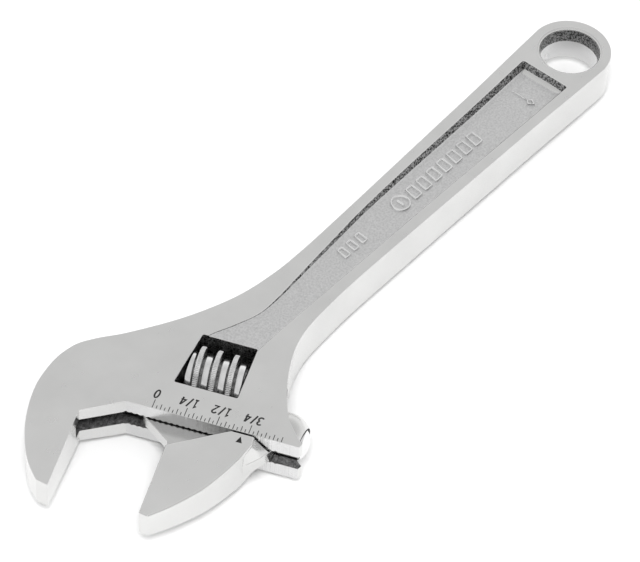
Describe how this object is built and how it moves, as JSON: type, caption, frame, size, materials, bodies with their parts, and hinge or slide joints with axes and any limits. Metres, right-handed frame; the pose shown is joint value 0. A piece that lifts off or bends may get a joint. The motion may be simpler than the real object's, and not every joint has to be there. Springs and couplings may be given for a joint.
{
  "type": "adjustable wrench",
  "caption": "Adjustable open-end wrench: forged handle with a fixed jaw, and a sliding jaw moved by a thumb-turned worm.",
  "frame": {"origin": "centre of the wrench's box in plan, at the height of the surface it lies on", "axes": "+X from the hanging hole to the jaws, +Y towards the movable jaw's side, +Z square to the flat faces"},
  "size_m": [0.1616, 0.0483, 0.0127],
  "materials": {
    "body_chrome": "satin chrome plate",
    "jaw_chrome": "satin chrome plate",
    "knurl_chrome": "polished chrome plate",
    "pin_steel": "turned steel",
    "spring_steel": "spring wire"
  },
  "bodies": {
    "body": {"body": "body_chrome", "knurl_pin": "pin_steel", "knurl_spring": "spring_steel"},
    "jaw": {"movable_jaw": "jaw_chrome"},
    "knurl": {"knurl": "knurl_chrome"}
  },
  "joints": [
    {"name": "knurl_spin", "type": "hinge", "parent": "body", "child": "knurl", "pos_m": [0.03934, 0.00041, 0.00635], "axis": [-0.3827, 0.9239, 0], "range_deg": [-666, 1921]},
    {"name": "jaw_slide", "type": "slide", "parent": "body", "child": "jaw", "axis": [-0.3827, 0.9239, 0], "range_m": [-0.0176, 0.0061]}
  ],
  "couplings": [
    {"joint": "knurl_spin", "follows": "jaw_slide", "rad_per_m": -1904}
  ]
}
